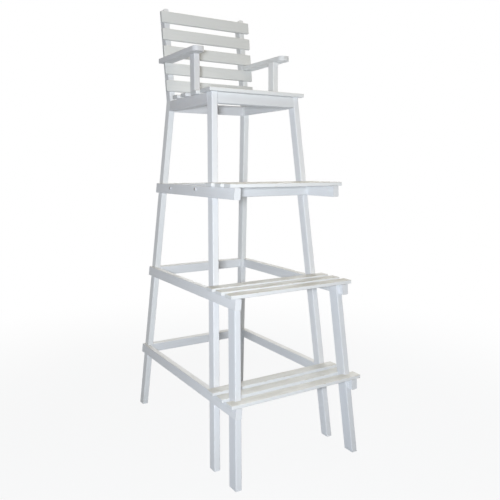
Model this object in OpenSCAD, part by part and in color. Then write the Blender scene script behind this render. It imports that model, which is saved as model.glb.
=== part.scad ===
// White wooden lifeguard stand: a slatted chair on a splayed tower, with two steps and a foot platform.
// Front faces -Y, left and right are as seen from the front, ground is z = 0, sizes in millimetres.

/* [Stand] */
// Width over the outer faces of the legs, at the ground
base_w = 721; // [600:1:900]
// Width over the outer faces of the legs, under the seat
seat_w = 504; // [420:1:600]
// Depth from the front of the step feet to the back of the rear feet
base_d = 1184; // [950:1:1500]
// Depth from the front of the front legs to the back of the rear legs, under the seat
seat_d = 532; // [450:1:620]
// Height of the seat above the ground
seat_h = 1818; // [1550:1:2100]
// Share of the front-to-back splay that the front legs take, the rear legs take the rest
lean_share = 0.438; // [0.3:0.002:0.7]
// Distance from the front legs forward to the step legs
step_out = 202; // [180:1:260]

/* [Stock] */
// Thickness of legs and posts, across the stand
leg_t = 32; // [24:1:45]
// Depth of the main legs and the posts, front to back
leg_d = 50; // [40:1:60]
// Depth of the step legs, front to back
step_leg_d = 61; // [45:1:70]
// Thickness of the rails
rail_t = 32; // [24:1:45]
// Height of the rails
rail_h = 53; // [40:1:80]
// How far the side rails stand out from the legs they are notched over
rail_proud = 15.5; // [8:0.5:20]
// Thickness of all slats
slat_t = 18; // [12:1:25]
// Width of the step and seat slats
slat_w = 58; // [45:1:65]
// How far the slats run past the frame below them
slat_over = 22; // [10:1:40]
// Radius of the eased edges of legs, rails and posts
edge_r = 4; // [1:0.5:6]
// Radius of the eased edges of slats, boards and armrests
slat_r = 3; // [1:0.5:5]
// Clearance beside a notched or butted piece
fit = 0.3; // [0.2:0.1:1]

/* [Steps] */
// Height of the lower step
lower_h = 405; // [300:1:500]
// Height of the middle step
middle_h = 887; // [700:1:1000]
// Height of the foot platform
platform_h = 1372; // [1150:1:1450]
// How far the front slats stand out from the front of the step legs
step_nose = 36; // [20:1:50]
// How far the rail ends are set back behind the front slat
rail_back = 2; // [0:1:20]
// Thickness of the board across the front of the platform
board_t = 18; // [12:1:32]

/* [Seat] */
// Width of the front seat slat
seat_front_w = 104; // [70:1:140]
// Extra gap, beyond the depth of the arm post, between the two slats it stands between
post_room = 11; // [4:1:30]
// Share of the open depth of the seat that each of the two other slat gaps takes
seat_gap_share = 0.26; // [0.1:0.01:0.4]

/* [Back] */
// Backward rake of the back posts
back_rake = 7.8; // [2:0.1:14]
// Width of a back slat
back_w = 60; // [45:1:65]
// Gap between back slats
back_gap = 32.3; // [30:0.1:60]
// Distance from the seat rails up to the lowest back slat
back_start = 48.5; // [30:0.5:80]
// How far the posts stand above the top slat
post_rise = 20; // [4:1:40]
// Corner radius of the post tops
post_r = 11; // [5:1:14]

/* [Arms] */
// Width of an armrest
arm_w = 63; // [50:1:80]
// Thickness of an armrest
arm_t = 25; // [16:1:26]
// How far the armrest is set out from the inner face of its post
arm_out = 2.5; // [0:0.5:10]
// How far the armrest runs forward of its post
arm_nose = 69; // [40:1:100]
// How far the armrest runs back past the front of the back post
arm_tail = 38; // [20:1:48]
// Share of the armrest width that each round corner of its nose takes
nose_share = 0.43; // [0.1:0.01:0.48]

/* [Hidden] */
$fn = 64;
far = 3000;
paint = [0.93, 0.94, 0.93];
step_n = 3;
seat_narrow_n = 3;
back_n = 5;
arm_slat = 2;
lower_top = lower_h - slat_t;
middle_top = middle_h - slat_t;
platform_top = platform_h - slat_t;
seat_top = seat_h - slat_t;
splay = base_d - step_out - seat_d;
side_slope = (base_w - seat_w) / 2 / seat_top;
front_slope = splay * lean_share / seat_top;
rear_slope = splay * (1 - lean_share) / seat_top;
side_lean = atan(side_slope);
front_tilt = tilt(front_slope);
rear_tilt = tilt(-rear_slope);
front_leg_level = level_d(front_tilt, leg_d);
rear_leg_level = level_d(rear_tilt, leg_d);
step_leg_level = level_d(front_tilt, step_leg_d);
inner_t = leg_t / cos(side_lean);
front_y0 = step_out - base_d / 2;
rail_in = rail_t - rail_proud;
rail_lift = edge_r * (sin(side_lean) + cos(side_lean) - 1);
step_gap = (step_out + step_nose - fit - step_n * slat_w) / (step_n - 1);
top_half = seat_w / 2;
seat_l = seat_w + 2 * slat_over;
seat_1 = front_y(seat_top) - slat_over;
post_y = rear_y(seat_top) - leg_d;
seat_room = post_y - seat_1 - seat_front_w - seat_narrow_n * slat_w - leg_d - post_room;
seat_gap = seat_gap_share * seat_room;
seat_2 = seat_1 + seat_front_w + seat_gap;
arm_post_y = seat_2 + slat_w + fit;
seat_3 = seat_2 + slat_w + leg_d + post_room;
seat_4 = seat_3 + slat_w + seat_gap;
back_pitch = back_w + back_gap;
post_l = back_start + back_n * back_pitch - back_gap + post_rise;
arm_gap_low = (back_start + arm_slat * back_pitch - back_gap) * cos(back_rake) + slat_t * sin(back_rake);
arm_z = seat_top + arm_gap_low + fit;
arm_in = top_half - leg_t + arm_out;
arm_front = arm_post_y - arm_nose;
nose_r = nose_share * arm_w;
arm_l = post_y + (arm_z - seat_top) * tan(back_rake) + arm_tail - arm_front;

function half(z) = base_w / 2 - z * side_slope;
function front_y(z) = front_y0 + z * front_slope;
function rear_y(z) = base_d / 2 - z * rear_slope;
function tilt(slope) = asin(slope / norm([side_slope, slope, 1]));
function level_d(tilt, depth) = depth / cos(tilt) + leg_t * abs(sin(tilt)) * tan(side_lean);
function slat_y(z, n) = front_y(z) - fit - slat_w - n * (slat_w + step_gap);
function rail_end(z) = slat_y(z, step_n - 1) + rail_back;

// Rectangle with rounded corners, from the origin
module eased(x, y, r) {
  union() {
    translate([r, 0])
      square([x - 2 * r, y]);
    translate([0, r])
      square([x, y - 2 * r]);
    for (u = [r, x - r])
      for (v = [r, y - r])
        translate([u, v])
          circle(r = r);
  }
}

// Endless bar that shows the given outline from above, from the front or from the side
module plan_view() {
  linear_extrude(height = 2 * far, center = true)
    children();
}

module front_view() {
  rotate([90, 0, 0])
    plan_view()
      children();
}

module side_view() {
  rotate([90, 0, 90])
    plan_view()
      children();
}

// Everything between two heights
module level(z0, z1) {
  translate([-far, -far, z0])
    cube([2 * far, 2 * far, z1 - z0]);
}

// Board with all twelve edges eased, from the origin
module board(x, y, z, r) {
  color(paint)
    intersection() {
      plan_view()
        eased(x, y, r);
      front_view()
        eased(x, z, r);
      side_view()
        eased(y, z, r);
    }
}

// Room inside the outer faces of the right legs, or between the inner faces of what stands on both sides
module inside_right(z0, z1) {
  front_view()
    polygon([[-far, z0], [half(z0), z0], [half(z1), z1], [-far, z1]]);
}

module between(z0, z1, inset) {
  front_view()
    polygon([
      [inset - half(z0), z0],
      [half(z0) - inset, z0],
      [half(z1) - inset, z1],
      [inset - half(z1), z1]
    ]);
}

// Slanted strip that follows the front legs, from one offset to another
module front_strip(z0, z1, from, to) {
  side_view()
    polygon([
      [front_y(z0) + from, z0],
      [front_y(z0) + to, z0],
      [front_y(z1) + to, z1],
      [front_y(z1) + from, z1]
    ]);
}

// Room between the fronts of the front legs and the backs of the rear legs, with an inset at each end
module between_ends(z0, z1, front_inset, rear_inset) {
  side_view()
    polygon([
      [front_y(z0) + front_inset, z0],
      [rear_y(z0) - rear_inset, z0],
      [rear_y(z1) - rear_inset, z1],
      [front_y(z1) + front_inset, z1]
    ]);
}

// Square-sawn leg with two leans: turned about the outer corner of its foot, then cut level at both ends
module leg(foot_y, tilt, shift, depth, top) {
  color(paint)
    intersection() {
      translate([half(0), foot_y, 0])
        rotate([-tilt, -side_lean, 0])
          translate([-leg_t, shift, 0])
            plan_view()
              eased(leg_t, depth, edge_r);
      level(0, top);
    }
}

module front_leg() {
  leg(front_y(0), front_tilt, 0, leg_d, seat_top);
}

module rear_leg() {
  leg(rear_y(0), rear_tilt, -leg_d, leg_d, seat_top);
}

module step_leg() {
  leg(front_y(0) - step_out, front_tilt, 0, step_leg_d, middle_top);
}

// Bar along the right side, leaning with the legs, its outer face the given distance outside theirs
module side_bar(top, proud) {
  translate([half(top) + proud, 0, top + rail_lift])
    rotate([0, -side_lean, 0])
      translate([-rail_t, 0, -rail_h])
        front_view()
          eased(rail_t, rail_h, edge_r);
}

// Space that a front or step leg takes up in a side rail, with its clearance
module leg_space(z0, z1, offset, depth) {
  intersection() {
    inside_right(z0, z1);
    front_strip(z0, z1, offset - fit, offset + depth + fit);
  }
}

// Side rail notched over the legs that it passes, its rear end cut flush with the back of the rear leg
module side_rail(top, has_step_leg) {
  z0 = top - 2 * rail_h;
  z1 = top + rail_h;
  color(paint)
    difference() {
      intersection() {
        side_bar(top, rail_proud);
        side_view()
          polygon([
            [rail_end(top), z0],
            [rear_y(z0), z0],
            [rear_y(z1), z1],
            [rail_end(top), z1]
          ]);
      }
      leg_space(z0, z1, 0, front_leg_level);
      if (has_step_leg)
        leg_space(z0, z1, -step_out, step_leg_level);
      difference() {
        inside_right(z0, z1);
        between_ends(z0, z1, -far, rear_leg_level + fit);
      }
    }
}

// Rail butted between the legs on both sides, leaning with the rear or the front legs
module rear_rail(top) {
  color(paint)
    intersection() {
      between(top - 2 * rail_h, top + rail_h, inner_t);
      translate([0, rear_y(top), top])
        rotate([atan(rear_slope), 0, 0])
          translate([0, -rail_t, -rail_h])
            side_view()
              eased(rail_t, rail_h, edge_r);
    }
}

// Bar across the stand that leans with the front legs, its highest edge at the given height
module front_bar(top, thickness, shift, r) {
  translate([0, front_y(top), top])
    rotate([-atan(front_slope), 0, 0])
      translate([0, shift, min(shift, 0) * front_slope - rail_h])
        side_view()
          eased(thickness, rail_h, r);
}

module seat_rail_front() {
  color(paint)
    intersection() {
      between(seat_top - 2 * rail_h, seat_top + rail_h, inner_t);
      front_bar(seat_top, rail_t, 0, edge_r);
    }
}

// Board across the front legs, between the platform rails
module platform_front_board() {
  color(paint)
    intersection() {
      between(platform_top - 2 * rail_h, platform_top + rail_h, rail_in / cos(side_lean));
      front_bar(platform_top, board_t, -board_t, slat_r);
    }
}

module seat_rail_side() {
  color(paint)
    intersection() {
      side_bar(seat_top, 0);
      between_ends(seat_top - 2 * rail_h, seat_top + rail_h, front_leg_level + fit, rear_leg_level + fit);
    }
}

// Slat laid across a pair of rails, n = 0 against the front legs
module step_slat(top, n) {
  length = 2 * (half(top) + rail_proud + slat_over);
  translate([-length / 2, slat_y(top, n), top])
    board(length, slat_w, slat_t, slat_r);
}

// Slat of the lower step, notched where the step legs pass it
module lower_slat(n) {
  difference() {
    step_slat(lower_top, n);
    step_leg_notch();
    mirror([1, 0, 0])
      step_leg_notch();
  }
}

module step_leg_notch() {
  z0 = lower_top - slat_t;
  z1 = lower_h + slat_t;
  intersection() {
    front_view()
      polygon([
        [half(z0) - inner_t - fit, z0],
        [half(z0) + fit, z0],
        [half(z1) + fit, z1],
        [half(z1) - inner_t - fit, z1]
      ]);
    front_strip(z0, z1, -step_out - fit, step_leg_level - step_out + fit);
  }
}

module seat_slat(y, width) {
  translate([-seat_l / 2, y, seat_top])
    board(seat_l, width, slat_t, slat_r);
}

// Raked post on the rear leg, cut level below and rounded at the top
module back_post() {
  color(paint)
    intersection() {
      translate([top_half - leg_t, post_y, seat_top])
        rotate([-back_rake, 0, 0])
          intersection() {
            plan_view()
              eased(leg_t, leg_d * cos(back_rake), edge_r);
            translate([0, 0, -post_l])
              front_view()
                eased(leg_t, 2 * post_l, post_r);
          }
      level(seat_top, seat_top + far);
    }
}

// Slat on the front of the back posts, n = 0 lowest
module back_slat(n) {
  translate([0, post_y, seat_top])
    rotate([-back_rake, 0, 0])
      translate([-seat_l / 2, -slat_t, back_start + n * back_pitch])
        board(seat_l, slat_t, back_w, slat_r);
}

module arm_post() {
  color(paint)
    translate([top_half - leg_t, arm_post_y, seat_top])
      linear_extrude(height = arm_z - seat_top)
        eased(leg_t, leg_d, edge_r);
}

// Space behind the front of a back post, up to its outer face
module back_post_space() {
  translate([-far, post_y, seat_top])
    rotate([-back_rake, 0, 0])
      translate([0, 0, -far / 2])
        cube([far + top_half + fit, far, far]);
}

// Flat armrest with a round-cornered nose, notched around the back post
module armrest() {
  color(paint)
    difference() {
      translate([arm_in, arm_front, arm_z])
        intersection() {
          plan_view()
            union() {
              eased(arm_w, arm_l, nose_r);
              translate([0, nose_r])
                square([arm_w, arm_l - nose_r]);
            }
          front_view()
            eased(arm_w, arm_t, slat_r);
          side_view()
            eased(arm_l, arm_t, slat_r);
        }
      back_post_space();
    }
}

mirror([1, 0, 0]) front_leg();  // front_leg_left
front_leg();  // front_leg_right
mirror([1, 0, 0]) rear_leg();  // rear_leg_left
rear_leg();  // rear_leg_right
mirror([1, 0, 0]) step_leg();  // step_leg_left
step_leg();  // step_leg_right
mirror([1, 0, 0]) side_rail(lower_top, true);  // lower_rail_left
side_rail(lower_top, true);  // lower_rail_right
rear_rail(lower_top);  // lower_rail_rear
mirror([1, 0, 0]) side_rail(middle_top, true);  // middle_rail_left
side_rail(middle_top, true);  // middle_rail_right
rear_rail(middle_top);  // middle_rail_rear
mirror([1, 0, 0]) side_rail(platform_top, false);  // platform_rail_left
side_rail(platform_top, false);  // platform_rail_right
rear_rail(platform_top);  // platform_rail_rear
platform_front_board();
mirror([1, 0, 0]) seat_rail_side();  // seat_rail_left
seat_rail_side();  // seat_rail_right
seat_rail_front();
rear_rail(seat_top);  // seat_rail_rear
lower_slat(0);  // lower_slat_inner
lower_slat(1);  // lower_slat_centre
lower_slat(step_n - 1);  // lower_slat_front
step_slat(middle_top, 0);  // middle_slat_inner
step_slat(middle_top, 1);  // middle_slat_centre
step_slat(middle_top, step_n - 1);  // middle_slat_front
step_slat(platform_top, 0);  // platform_slat_inner
step_slat(platform_top, 1);  // platform_slat_centre
step_slat(platform_top, step_n - 1);  // platform_slat_front
seat_slat(seat_1, seat_front_w);  // seat_slat_front
seat_slat(seat_2, slat_w);  // seat_slat_second
seat_slat(seat_3, slat_w);  // seat_slat_third
seat_slat(seat_4, slat_w);  // seat_slat_rear
mirror([1, 0, 0]) back_post();  // back_post_left
back_post();  // back_post_right
back_slat(0);  // back_slat_bottom
back_slat(1);  // back_slat_lower
back_slat(2);  // back_slat_middle
back_slat(3);  // back_slat_upper
back_slat(back_n - 1);  // back_slat_top
mirror([1, 0, 0]) arm_post();  // arm_post_left
arm_post();  // arm_post_right
mirror([1, 0, 0]) armrest();  // armrest_left
armrest();  // armrest_right
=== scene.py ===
# %% [markdown]
# # A white wooden lifeguard stand
#
# The real stand is a slatted chair on a tower of splayed legs, sawn from square stock and
# brushed with white paint. Every board already has its true shape in the solid model, so
# this lesson loads that model as a fixed frame, gives each board a finish of its own, and
# adds the few bolt heads that stand out from the wood.

# %% Load the frame
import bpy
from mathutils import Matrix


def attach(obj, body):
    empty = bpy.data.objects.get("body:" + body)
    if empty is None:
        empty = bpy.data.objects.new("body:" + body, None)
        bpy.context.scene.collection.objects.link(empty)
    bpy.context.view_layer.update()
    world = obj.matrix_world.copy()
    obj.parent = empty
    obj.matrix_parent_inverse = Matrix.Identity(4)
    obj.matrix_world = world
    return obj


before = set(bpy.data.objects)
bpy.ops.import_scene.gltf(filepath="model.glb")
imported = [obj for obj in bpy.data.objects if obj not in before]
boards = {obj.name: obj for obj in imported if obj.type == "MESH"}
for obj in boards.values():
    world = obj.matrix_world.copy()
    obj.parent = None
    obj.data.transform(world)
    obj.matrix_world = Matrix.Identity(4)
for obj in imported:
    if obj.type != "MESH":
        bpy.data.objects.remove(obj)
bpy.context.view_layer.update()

from types import SimpleNamespace

import bpy
import numpy as np
from mathutils import Matrix, Vector

scene = bpy.context.scene

# %% [markdown]
# ## The camera
#
# The photograph was taken from the left of the front, at about chest height, close enough
# for strong perspective. A camera can be placed by eye, but here its place and focal length
# were solved from points of the stand, so they are typed in. The image is square, so the
# focal length in pixels turns into a lens by simple proportion.

# %% Place the camera
IMAGE_SIDE = 500.0
FOCAL_PIXELS = 571.268
SENSOR_MM = 36.0
EYE = Vector((-1.5563, -2.6505, 1.4457))
LOOK_AT = Vector((0.0, -0.128, 1.0140))

camera = bpy.data.objects.new("camera", bpy.data.cameras.new("camera"))
scene.collection.objects.link(camera)
camera.data.sensor_width = SENSOR_MM
camera.data.lens = FOCAL_PIXELS / IMAGE_SIDE * SENSOR_MM
camera.location = EYE
camera.rotation_euler = (LOOK_AT - EYE).to_track_quat("-Z", "Y").to_euler()
scene.camera = camera
print("lens", round(camera.data.lens, 2), "mm")

# %% [markdown]
# ## Writing shaders as expressions
#
# A finish is a sum of small effects: grain, brush marks, dirt, worn edges. Wired by hand
# that becomes dozens of nodes, so a small class wraps one output socket and lets Python's
# operators add the Math nodes. `Sheet` holds the node tree and has one method, `node`,
# which makes any other node from its type, its settings and the values of its sockets.


# %% Sockets that can be added and multiplied
class Wire:
    """One output socket. Arithmetic on it adds Math nodes to the same tree."""

    def __init__(self, sheet, socket):
        self.sheet, self.socket = sheet, socket

    def math(self, operation, *others):
        values = dict(enumerate((self, *others)))
        return self.sheet.node("ShaderNodeMath", {"operation": operation}, values)

    def __add__(self, other):
        return self.math("ADD", other)

    def __sub__(self, other):
        return self.math("SUBTRACT", other)

    def __rsub__(self, other):
        values = {0: other, 1: self}
        return self.sheet.node("ShaderNodeMath", {"operation": "SUBTRACT"}, values)

    def __mul__(self, other):
        return self.math("MULTIPLY", other)

    def __abs__(self):
        return self.math("ABSOLUTE")

    __radd__, __rmul__ = __add__, __mul__

    def least(self, other):
        return self.math("MINIMUM", other)

    def most(self, other):
        return self.math("MAXIMUM", other)

    def rise(self, low, high):
        """0 below low, 1 above high, with an S-shaped step between them."""
        settings = {"interpolation_type": "SMOOTHSTEP"}
        return self.sheet.node("ShaderNodeMapRange", settings, {0: self, 1: low, 2: high})

    def also(self, name):
        """Another output of the node that this socket belongs to."""
        return Wire(self.sheet, self.socket.node.outputs[name])


# %% One sheet of nodes for one finish
class Sheet:
    """The node tree of a material or world."""

    def __init__(self, owner):
        owner.use_nodes = True
        self.tree = owner.node_tree
        self.tree.nodes.clear()

    def node(self, kind, settings, sockets, out=0):
        """Makes a node, sets its settings, then fills or links its sockets."""
        made = self.tree.nodes.new(kind)
        for name, value in settings.items():
            setattr(made, name, value)
        for key, value in sockets.items():
            if isinstance(value, Wire):
                self.tree.links.new(value.socket, made.inputs[key])
            else:
                made.inputs[key].default_value = value
        return Wire(self, made.outputs[out]) if made.outputs else made

    def vector(self, operation, first, second):
        """Vector Math on two vectors."""
        settings = {"operation": operation}
        return self.node("ShaderNodeVectorMath", settings, {0: first, 1: second})

    def length(self, vector):
        """How long a vector is."""
        settings = {"operation": "LENGTH"}
        return self.node("ShaderNodeVectorMath", settings, {0: vector}, out="Value")

    def noise(self, place, cells, seed, detail=2.0):
        """Cloudy values about 0.5, with so many cells per metre along each axis."""
        stretched = self.vector("MULTIPLY", place, cells)
        sockets = {"Vector": stretched, "W": seed, "Scale": 1.0, "Detail": detail}
        return self.node("ShaderNodeTexNoise", {"noise_dimensions": "4D"}, sockets)

    def blend(self, amount, first, second, how="MIX"):
        """Two colours mixed: amount 0 gives the first, 1 the second."""
        settings = {"data_type": "RGBA", "blend_type": how}
        return self.node("ShaderNodeMix", settings, {0: amount, 6: first, 7: second}, out=2)


print("shader expressions ready")

# %% [markdown]
# ## Light, background and floor
#
# The stand was photographed by a lamp close to the camera, a little to its left, against
# plain white. Weaker lamps stand in for the room: one above that lights the treads, a
# bluish one on the left, a warm one at the front right, and one each for the right side
# and the back. A bright sky would give a white background too, but it would bleach the
# paint. So the white is only what the camera sees, on the sky and on the floor, and the
# light that falls on the wood comes from the lamps and a dim, warm sky.

# %% Sky that looks white but lights softly
PLAIN_WHITE = (1.0, 1.0, 1.0, 1.0)
SKY_COLOUR = (1.0, 0.82, 0.58, 1.0)
SKY_STRENGTH = 0.125

scene.view_settings.view_transform = "Standard"
scene.world = bpy.data.worlds.new("studio")
sky = Sheet(scene.world)


def seen_directly(sheet):
    """1 for rays that show the background: from the camera, a reflection or through glass."""
    path = sheet.node("ShaderNodeLightPath", {}, {}, out="Is Camera Ray")
    return path.most(path.also("Is Glossy Ray")).most(path.also("Is Transmission Ray"))


dim = sky.node("ShaderNodeBackground", {}, {0: SKY_COLOUR, 1: SKY_STRENGTH})
white = sky.node("ShaderNodeBackground", {}, {0: PLAIN_WHITE, 1: 1.0})
shown = sky.node("ShaderNodeMixShader", {}, {0: seen_directly(sky), 1: dim, 2: white})
sky.node("ShaderNodeOutputWorld", {}, {0: shown})
print("sky strength", SKY_STRENGTH)

# %% Soft lamps: where each stands, where it points, its side, watts and colour
LAMPS = {
    "key_lamp": ((-1.64, -2.60, 1.47), (0.0, 0.0, 1.2), 0.2, 71.0, (0.89, 0.94, 1.0)),
    "top_lamp": ((0.3, -0.5, 5.5), (0.0, 0.0, 1.0), 3.0, 57.0, (1.0, 0.99, 0.94)),
    "left_lamp": ((-4.5, -1.5, 1.4), (0.0, 0.0, 1.0), 2.0, 18.5, (0.71, 0.81, 1.0)),
    "fill_lamp": ((1.2, -2.4, 2.2), (0.0, 0.0, 1.5), 1.0, 6.0, (1.0, 0.90, 0.71)),
    "side_lamp": ((4.2, 0.8, 1.3), (0.0, 0.0, 1.1), 2.0, 62.0, (0.90, 0.94, 1.0)),
    "back_lamp": ((2.6, 3.8, 2.6), (0.0, 0.0, 1.2), 2.5, 78.0, (0.94, 0.97, 1.0)),
}


def soft_lamp(name, place, aim, side, power, colour):
    """A square lamp that faces the point it is aimed at."""
    lamp = bpy.data.lights.new(name, "AREA")
    lamp.shape, lamp.size, lamp.energy, lamp.color = "SQUARE", side, power, colour
    holder = bpy.data.objects.new(name, lamp)
    scene.collection.objects.link(holder)
    holder.location = place
    holder.visible_camera = False
    holder.rotation_euler = (Vector(aim) - Vector(place)).to_track_quat("-Z", "Y").to_euler()
    print("lamp", name, power, "W")


for lamp_name, lamp_row in LAMPS.items():
    soft_lamp(lamp_name, *lamp_row)

# %% Floor that fades into the white
FLOOR_HALF = 30.0
FLOOR_DROP = 0.0003
FADE_FROM, FADE_TO = 1.0, 3.5
FLOOR_WHITE = 0.90
FLOOR_TONE = (0.46, 0.50, 0.55, 1.0)

floor_mesh = bpy.data.meshes.new("floor")
corners = FLOOR_HALF * np.array([(-1, -1, 0), (1, -1, 0), (1, 1, 0), (-1, 1, 0)], float)
corners[:, 2] = -FLOOR_DROP
floor_mesh.from_pydata(corners.tolist(), [], [(0, 1, 2, 3)])
floor = bpy.data.objects.new("floor", floor_mesh)
scene.collection.objects.link(floor)

floor_paint = bpy.data.materials.new("pale_floor")
ground = Sheet(floor_paint)
spot = ground.node("ShaderNodeTexCoord", {}, {}, out="Object")
far = ground.length(spot).rise(FADE_FROM, FADE_TO)
fade = FLOOR_WHITE + (1.0 - FLOOR_WHITE) * far
matt = ground.node("ShaderNodeBsdfDiffuse", {}, {0: FLOOR_TONE})
glow = ground.node("ShaderNodeEmission", {}, {0: PLAIN_WHITE, 1: 1.0})
floor_sockets = {0: fade * seen_directly(ground), 1: matt, 2: glow}
floor_look = ground.node("ShaderNodeMixShader", {}, floor_sockets)
ground.node("ShaderNodeOutputMaterial", {}, {0: floor_look})
floor_mesh.materials.append(floor_paint)
print("floor", 2 * FLOOR_HALF, "m wide")

# %% [markdown]
# ## Finding each board's own axes
#
# Grain runs along a board, and edges wear along its edges, so a finish has to know which
# way its board lies. A leaning leg makes that awkward to type in. Instead the directions
# are read from the solid: a sawn board has three pairs of flat faces, and the two pairs
# with the most area show its thickness and its width.

# %% Faces of a board
TINY = 1e-12


def triangles_of(mesh):
    """The corner points, and each triangle's direction and area: the cross product of two
    of its sides points straight out of it and is twice as long as its area."""
    points = np.empty(len(mesh.vertices) * 3)
    mesh.vertices.foreach_get("co", points)
    points = points.reshape(-1, 3)
    mesh.calc_loop_triangles()
    corner = np.empty(len(mesh.loop_triangles) * 3, int)
    mesh.loop_triangles.foreach_get("vertices", corner)
    a, b, c = np.moveaxis(points[corner.reshape(-1, 3)], 1, 0)
    cross = np.cross(b - a, c - a)
    length = np.linalg.norm(cross, axis=1)
    return points, cross / np.maximum(length, TINY)[:, None], length / 2


# %% Axes, centre and half size of a board
MM = 1000.0
SAME_TO_DECIMALS = 3
LARGEST_COSINE_WHEN_SQUARE = 0.1


def unit(direction):
    """The same direction with a length of 1."""
    return direction / np.linalg.norm(direction)


def board_axes(piece):
    """Face directions with opposite ones taken together and their areas added up: the one
    with most area is the thickness, the next one square to it the width, and their cross
    product runs along the grain. Along these axes lie the centre and the half size."""
    points, normal, area = triangles_of(piece.data)
    lead = np.take_along_axis(normal, np.abs(normal).argmax(1)[:, None], 1)
    rounded = np.round(normal * np.sign(lead), SAME_TO_DECIMALS)
    ways, group = np.unique(rounded, axis=0, return_inverse=True)
    weight = np.bincount(group.ravel(), area)
    through = unit(ways[weight.argmax()])
    square = np.abs(ways @ through) < LARGEST_COSINE_WHEN_SQUARE
    across = ways[np.where(square, weight, 0.0).argmax()]
    across = unit(across - through * (across @ through))
    axes = np.stack([np.cross(across, through), across, through], axis=1)
    local = points @ axes
    low, high = local.min(0), local.max(0)
    return axes, axes @ ((low + high) / 2), (high - low) / 2


sawn = {name: board_axes(piece) for name, piece in boards.items()}
for name in ("front_leg_left", "seat_slat_front", "armrest_left"):
    print(name, "length, width, thickness, mm:", np.round(2 * MM * sawn[name][2], 1).tolist())

# %% [markdown]
# ## White paint on sawn wood
#
# Seen close, brushed paint over softwood is never one flat white. Growth rings raise faint
# lines, the brush leaves streaks along the board, end grain drinks the paint and looks
# duller, edges rub thin, and whatever faces up collects dust and grey-brown dirt. A warm
# tint on every upper face also stands in for warm light from above, as painted light. One
# picture could not serve boards of so many lengths, so every effect is worked out in the
# board's own axes, each by a short function, and one last function lays them together.

# %% Growth rings
PITH_ASIDE, PITH_AWAY = (-0.02, 0.02), (0.05, 0.09)
RING_SPACING = (0.0045, 0.0065)
BEND_CELLS, RING_BEND = (2.0, 14.0, 14.0), 0.02
ACROSS_THE_GRAIN = (0.0, 1.0, 1.0)


def growth_rings(sheet, place, seed):
    """A sine wave, from 0 to 1, of the distance from a pith line beside the board, where
    slow noise bends the distance."""
    rng = np.random.default_rng(seed)
    pith = (0.0, rng.uniform(*PITH_ASIDE), rng.uniform(*PITH_AWAY))
    spacing = rng.uniform(*RING_SPACING)
    beside = sheet.vector("SUBTRACT", place, pith)
    flat = sheet.vector("MULTIPLY", beside, ACROSS_THE_GRAIN)
    bent = sheet.length(flat) + sheet.noise(place, BEND_CELLS, seed) * RING_BEND
    return (bent * (2.0 * np.pi / spacing)).math("SINE") * 0.5 + 0.5


# %% Brush marks, patches, grit and scuffs
BRUSH_CELLS = (3.0, 260.0, 260.0)
PATCH_CELLS = (3.5, 16.0, 16.0)
GRIT_CELLS = (45.0, 150.0, 150.0)
SCUFF_CELLS = (7.0, 34.0, 34.0)


def board_marks(sheet, place, seed):
    """All patterns of one board. Each is noise stretched along the board, from fine streaks
    of the brush to broad patches, and the rings are a wave."""
    return SimpleNamespace(
        rings=growth_rings(sheet, place, seed),
        brush=sheet.noise(place, BRUSH_CELLS, seed + 0.3, detail=3.0),
        patch=sheet.noise(place, PATCH_CELLS, seed + 0.6),
        grit=sheet.noise(place, GRIT_CELLS, seed + 0.9, detail=3.0),
        scuff=sheet.noise(place, SCUFF_CELLS, seed + 1.3, detail=4.0),
    )


# %% Distances to the ends and edges
END_FROM, END_TO = 0.0004, 0.0020


def ends_and_edges(sheet, place, half):
    """The gap to the outline along an axis is the half size less the distance from the
    middle. On a face one of the three gaps is zero, so the middle one of them is the
    distance to the nearest edge. The first result is 1 on the sawn ends."""
    x = sheet.node("ShaderNodeSeparateXYZ", {}, {0: place})
    end_gap = half[0] - abs(x)
    side_gap = half[1] - abs(x.also("Y"))
    face_gap = half[2] - abs(x.also("Z"))
    edge = end_gap.least(side_gap).most(end_gap.most(side_gap).least(face_gap))
    return 1.0 - end_gap.rise(END_FROM, END_TO), edge


# %% Uneven coat
COAT_TONE, PATCH_TONE, RING_TONE, BRUSH_TONE = 0.965, 0.05, 0.018, 0.03


def uneven_coat(sheet, white, marks, duller):
    """The white times a tone near 1, which patches, rings and brush marks change a little."""
    tone = COAT_TONE + PATCH_TONE * marks.patch + RING_TONE * (marks.rings - 0.5)
    # duller darkens the sawn ends: duller end grain, and on the seat slats painted shade as
    # well
    tone = tone + BRUSH_TONE * (marks.brush - 0.5) - duller
    shade = sheet.node("ShaderNodeCombineColor", {}, {0: tone, 1: tone, 2: tone})
    return sheet.blend(1.0, white, shade, how="MULTIPLY")


# %% Rubbed edges
BARE_WOOD = (0.42, 0.33, 0.23, 1.0)
RUBBED_TO, WHOLE_FROM = 0.0008, 0.0045
GRIT_SHARE = 0.6
RUB_FROM, RUB_FULL = 0.50, 0.62


def rubbed_edges(edge, marks):
    """1 at an edge, 0 a few millimetres away, and only where grit and patches agree."""
    broken = marks.grit * GRIT_SHARE + marks.patch * (1.0 - GRIT_SHARE)
    return (1.0 - edge.rise(RUBBED_TO, WHOLE_FROM)) * broken.rise(RUB_FROM, RUB_FULL)


# %% Dust and painted warm light on what faces up, and dirt
# The first colour tints every upward face: dust, and painted warm light from above.
DUST_AND_WARM_TOP_LIGHT, DUST_AND_WARM_LIGHT_SHARE = (0.84, 0.80, 0.69, 1.0), 0.30
TREAD_DIRT = (0.455, 0.425, 0.345, 1.0)
SIDEWAYS, UPWARD = 0.35, 0.90
SCUFF_FROM, SCUFF_FULL = 0.38, 0.66
EVEN_DIRT, GRITTY_DIRT, GRIT_CONTRAST = 0.45, 0.75, 0.5


def facing_up(sheet):
    """0 on upright faces and 1 on level ones, from the height part of the face direction."""
    normal = sheet.node("ShaderNodeTexCoord", {}, {}, out="Normal")
    height = sheet.node("ShaderNodeSeparateXYZ", {}, {0: normal}, out="Z")
    return height.rise(SIDEWAYS, UPWARD)


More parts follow.
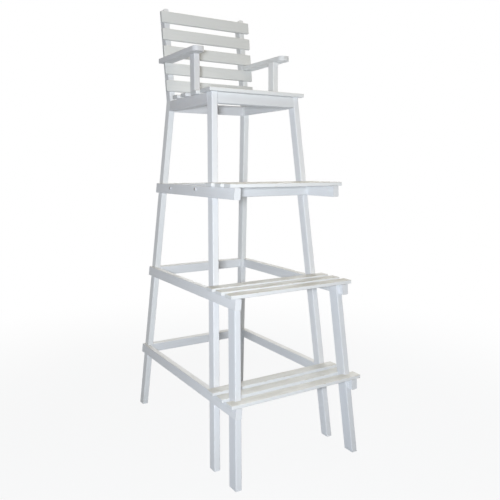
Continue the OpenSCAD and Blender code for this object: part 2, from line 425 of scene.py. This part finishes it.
def trodden_dirt(up, marks):
    """An even film and more of it in the scuffs, speckled by grit, on what faces up."""
    film = EVEN_DIRT + (1.0 - EVEN_DIRT) * marks.scuff.rise(SCUFF_FROM, SCUFF_FULL)
    return up * film * (GRITTY_DIRT + GRIT_CONTRAST * (marks.grit - 0.5))


# %% Splashes near the ground
SPLASH_DIRT = (0.36, 0.33, 0.29, 1.0)
SPLASH_TOP, EVEN_SPLASH = 0.16, 0.35


def splashes(sheet, object_place, marks):
    """Most at the ground and none above the splash height, more in the scuffs."""
    height = sheet.node("ShaderNodeSeparateXYZ", {}, {0: object_place}, out="Z")
    broken = EVEN_SPLASH + (1.0 - EVEN_SPLASH) * marks.scuff
    return (1.0 - height.rise(0.0, SPLASH_TOP)) * broken


# %% Sheen and relief of the painted surface
PAINT_ROUGH, PAINT_SPECULAR = 0.52, 0.35
BRUSH_ROUGH, DIRT_ROUGH, END_ROUGH, RUBBED_ROUGH, SPLASH_ROUGH = 0.10, 0.22, 0.15, 0.30, 0.15
RING_RELIEF, BRUSH_RELIEF, GRIT_RELIEF, RUBBED_RELIEF = 0.10, 0.12, 0.05, 0.12
RELIEF_METRES = 0.001


def painted_surface(sheet, colour, rough, relief, specular):
    """A plain surface with the given colour and roughness; the relief is in millimetres."""
    sockets = {"Strength": 1.0, "Distance": RELIEF_METRES, "Height": relief}
    bump = sheet.node("ShaderNodeBump", {}, sockets)
    sockets = {"Base Color": colour, "Roughness": rough, "Normal": bump}
    sockets["Specular IOR Level"] = specular
    surface = sheet.node("ShaderNodeBsdfPrincipled", {}, sockets)
    sheet.node("ShaderNodeOutputMaterial", {}, {0: surface})


# %% One finish for one board
def painted_board(name, white, seed, wear, tread=0.0, splash=0.0, ends=0.05):
    """Paint for one board: wear is how rubbed its edges are, tread how dirty its upper face
    is, splash how much dirt has splashed up on it, ends how much darker its sawn ends are:
    duller end grain, and on the seat slats painted shade as well."""
    axes, centre, half = sawn[name]
    paint = bpy.data.materials.new("paint_" + name)
    sheet = Sheet(paint)
    object_place = sheet.node("ShaderNodeTexCoord", {}, {}, out="Object")
    turn = Matrix(axes.tolist()).to_euler()
    sockets = {0: object_place, 1: tuple(centre), 2: tuple(turn)}
    place = sheet.node("ShaderNodeMapping", {"vector_type": "TEXTURE"}, sockets)

    marks = board_marks(sheet, place, seed)
    end, edge = ends_and_edges(sheet, place, half)
    up = facing_up(sheet)
    rubbed = rubbed_edges(edge, marks) * wear
    dirt = trodden_dirt(up, marks) * tread
    muddy = splashes(sheet, object_place, marks) * splash

    colour = uneven_coat(sheet, white, marks, ends * end)
    colour = sheet.blend(rubbed, colour, BARE_WOOD)
    # dust and painted warm light from above on every upward face
    colour = sheet.blend(up * DUST_AND_WARM_LIGHT_SHARE, colour, DUST_AND_WARM_TOP_LIGHT)
    colour = sheet.blend(dirt, colour, TREAD_DIRT)
    colour = sheet.blend(muddy, colour, SPLASH_DIRT)
    rough = PAINT_ROUGH + BRUSH_ROUGH * (marks.brush - 0.5) + DIRT_ROUGH * dirt
    rough = rough + END_ROUGH * end + RUBBED_ROUGH * rubbed + SPLASH_ROUGH * muddy
    relief = RING_RELIEF * marks.rings + BRUSH_RELIEF * marks.brush
    relief = relief + GRIT_RELIEF * marks.grit - RUBBED_RELIEF * rubbed
    painted_surface(sheet, colour, rough, relief, PAINT_SPECULAR)
    return paint


print("finish ready")

# %% [markdown]
# ## Painting the boards
#
# The boards are not used alike, and they do not get the same light. The rear legs and two
# posts have their white painted lighter, as painted light; the left arm and the seat rails
# have it painted darker, as painted shade, and so do the platform's front board and the step
# legs. The back slats have a greyer white. Treads and the seat are walked and sat on, so they
# are the dirtiest, and the feet carry a few splashes from the ground. One finish for all
# would make the stand look moulded in one piece, so a table gives the coat and those amounts
# by words in a board's name. The first row that fits counts, so a single board stands above
# its group.

# %% Whites per group of boards, as linear light: the lighter and darker copies are painted light and shade, and the back slats are greyer
# painted light: this lighter white goes on the rear legs, the right arm post and the right
# back post, for the extra light they catch
PAINTED_LIGHT_WHITE = (0.84, 0.85, 0.85, 1.0)
FRAME_WHITE = (0.79, 0.80, 0.815, 1.0)
SLAT_WHITE = (0.78, 0.79, 0.79, 1.0)
# painted shade: this darker white goes on the front and right seat rails and the platform's
# front board, under the seat and the treads
SOFT_PAINTED_SHADE_WHITE = (0.745, 0.755, 0.765, 1.0)
# painted shade: this darker, slightly bluer white goes on the step legs, for the dimmer,
# bluish light low at the front
STEP_LEG_PAINTED_SHADE_WHITE = (0.73, 0.745, 0.765, 1.0)
# painted shade: this darker white goes on the left arm, the left seat rail and the rear seat
# rail, for the shade they stand in
DEEP_PAINTED_SHADE_WHITE = (0.70, 0.70, 0.71, 1.0)
BACK_WHITE = (0.72, 0.73, 0.72, 1.0)

# %% Coat, dirt and wear by use
USES = [
    ("lower_slat", SLAT_WHITE, dict(tread=0.46, wear=0.50, ends=0.0)),
    ("middle_slat", SLAT_WHITE, dict(tread=0.84, wear=0.45)),
    ("platform_slat", SLAT_WHITE, dict(tread=0.94, wear=0.35)),
    # Seat and back slats get darker sawn ends than other boards; on the seat slats that is
    # duller end grain with painted shade.
    ("seat_slat", SLAT_WHITE, dict(tread=0.55, wear=0.25, ends=0.16)),
    ("back_slat", BACK_WHITE, dict(tread=0.30, wear=0.10, ends=0.18)),
    ("armrest_left", DEEP_PAINTED_SHADE_WHITE, dict(tread=0.25, wear=0.25)),
    ("armrest_right", SLAT_WHITE, dict(tread=0.25, wear=0.25)),
    ("arm_post_left", DEEP_PAINTED_SHADE_WHITE, dict(wear=0.15)),
    ("arm_post_right", PAINTED_LIGHT_WHITE, dict(wear=0.15)),
    ("back_post_right", PAINTED_LIGHT_WHITE, dict(tread=0.20, wear=0.15)),
    ("seat_rail_left", DEEP_PAINTED_SHADE_WHITE, dict(wear=0.15)),
    ("seat_rail_rear", DEEP_PAINTED_SHADE_WHITE, dict(wear=0.15)),
    ("seat_rail", SOFT_PAINTED_SHADE_WHITE, dict(wear=0.15)),
    # The right rails' upper faces are darkened more than the left ones'.
    ("lower_rail_right", FRAME_WHITE, dict(tread=0.20, wear=0.10)),
    ("lower_rail", FRAME_WHITE, dict(wear=0.10)),
    ("middle_rail_right", FRAME_WHITE, dict(tread=0.60, wear=0.15)),
    ("_rail_", FRAME_WHITE, dict(tread=0.10, wear=0.15)),
    ("step_leg", STEP_LEG_PAINTED_SHADE_WHITE, dict(splash=0.06, wear=0.20)),
    ("rear_leg", PAINTED_LIGHT_WHITE, dict(splash=0.06, wear=0.15)),
    ("_leg_", FRAME_WHITE, dict(splash=0.06, wear=0.15)),
    ("front_board", SOFT_PAINTED_SHADE_WHITE, dict(tread=0.20, wear=0.15)),
    ("", FRAME_WHITE, dict(tread=0.20, wear=0.15)),
]
SEED_STEP = 7


def use_of(name):
    """The first row of the table whose words are in the board's name."""
    return next(row for row in USES if row[0] in name)


for number, name in enumerate(sorted(boards)):
    _, white_coat, amounts = use_of(name)
    finish = painted_board(name, white_coat, number * SEED_STEP, **amounts)
    boards[name].data.materials.clear()
    boards[name].data.materials.append(finish)
print(len(boards), "boards painted")

# %% [markdown]
# ## Bolt heads on the platform rails
#
# Two thick bolt heads stand out from the outer face of the left platform rail, bright on
# the side and dark on the crown, where the paint is gone. The right rail has them too. A
# lathe would turn such a head from a rod, and the mesh is made the same way: a profile,
# worked out as one array, is carried round the bolt's axis as a grid of rings. Both ends
# of the profile lie on the axis, so each closes with a fan of triangles.

# %% Profile of a head
HEAD_RADIUS, HEAD_HEIGHT, HEAD_SUNK = 0.0092, 0.0085, 0.0015
SHOULDER = 0.42
RINGS_ON_HEAD, POINTS_ROUND = 16, 40


def head_profile():
    """Radius and height from the crown to the wood, then a short way into it: the sine and
    cosine of a quarter turn, each raised to a power below one, which squares the shoulder."""
    t = np.linspace(0.0, np.pi / 2, RINGS_ON_HEAD)[1:]
    radius = np.append(HEAD_RADIUS * np.sin(t) ** SHOULDER, HEAD_RADIUS)
    height = np.append(HEAD_HEIGHT * np.abs(np.cos(t)) ** SHOULDER, -HEAD_SUNK)
    return radius, height


# %% Faces between the rings
def ring_faces(rows):
    """Corner numbers of the quads between neighbouring rings, the last point of a ring
    joined to its first, and of two fans. The two points on the axis are numbered last."""
    step = np.arange(POINTS_ROUND)
    after = np.roll(step, -1)
    first = np.arange(rows - 1)[:, None] * POINTS_ROUND
    second = first + POINTS_ROUND
    quads = np.stack([first + step, second + step, second + after, first + after], -1)
    last = (rows - 1) * POINTS_ROUND
    crown = np.stack([np.full(POINTS_ROUND, rows * POINTS_ROUND), step, after], -1)
    foot = np.full(POINTS_ROUND, rows * POINTS_ROUND + 1)
    base = np.stack([foot, last + after, last + step], -1)
    return quads.reshape(-1, 4).tolist() + crown.tolist() + base.tolist()


# %% Turning the profile
def turned_head(name, centre, axis):
    """Each profile point swept round the axis through the centre, with a point on the axis
    at both ends: place = centre + radius (cos a, sin a) + height along the axis."""
    radius, height = head_profile()
    side = unit(np.cross(axis, (0.0, 1.0, 0.0)))
    other = np.cross(axis, side)
    a = np.linspace(0.0, 2 * np.pi, POINTS_ROUND, endpoint=False)
    circle = np.cos(a)[:, None] * side + np.sin(a)[:, None] * other
    rings = radius[:, None, None] * circle + height[:, None, None] * axis
    ends = np.array([HEAD_HEIGHT, -HEAD_SUNK])[:, None] * axis
    points = np.concatenate([rings.reshape(-1, 3), ends]) + centre
    mesh = bpy.data.meshes.new(name)
    mesh.from_pydata(points.tolist(), [], ring_faces(len(radius)))
    mesh.polygons.foreach_set("use_smooth", np.ones(len(mesh.polygons), bool))
    head = bpy.data.objects.new(name, mesh)
    scene.collection.objects.link(head)
    return head


# %% Worn paint on a bolt
BOLT_GREY = (0.58, 0.585, 0.60, 1.0)
RUST = (0.26, 0.23, 0.20, 1.0)
BOLT_CELLS, BOLT_SEED = (300.0, 300.0, 300.0), 3.0
CROWN_FROM, CROWN_FULL = 0.70, 0.92
EVEN_RUST, GRITTY_RUST = 0.30, 0.9
BOLT_ROUGH, BOLT_GRIT_ROUGH = 0.38, 0.2
BOLT_RELIEF, BOLT_SPECULAR = 0.4, 0.5


def painted_bolt():
    """Thin, greyed paint on the side of the head, and rust showing through on its crown, the
    part that faces sideways like the rail."""
    paint = bpy.data.materials.new("paint_bolt")
    sheet = Sheet(paint)
    place = sheet.node("ShaderNodeTexCoord", {}, {}, out="Object")
    grit = sheet.noise(place, BOLT_CELLS, BOLT_SEED, detail=3.0)
    sideways = abs(sheet.node("ShaderNodeSeparateXYZ", {}, {0: place.also("Normal")}))
    crown = sideways.rise(CROWN_FROM, CROWN_FULL) * (EVEN_RUST + GRITTY_RUST * grit)
    colour = sheet.blend(crown, BOLT_GREY, RUST)
    rough = BOLT_ROUGH + BOLT_GRIT_ROUGH * grit
    painted_surface(sheet, colour, rough, BOLT_RELIEF * grit, BOLT_SPECULAR)
    return paint


# %% Set the bolts on the rails
BOLT_PLACES = {"rear": (0.204, 1.332), "front": (-0.096, 1.3366)}

bolt_paint = painted_bolt()
for side in ("left", "right"):
    axes, centre, half = sawn["platform_rail_" + side]
    out = axes[:, 2] * np.sign(axes[0, 2] * centre[0])
    face = centre + half[2] * out
    for where, (y, z) in BOLT_PLACES.items():
        x = face[0] - (z - face[2]) * out[2] / out[0]
        bolt = turned_head(f"rail_bolt_{where}_{side}", np.array([x, y, z]), out)
        bolt.data.materials.append(bolt_paint)
        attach(bolt, "root")
        print(bolt.name, np.round([x, y, z], 4).tolist())
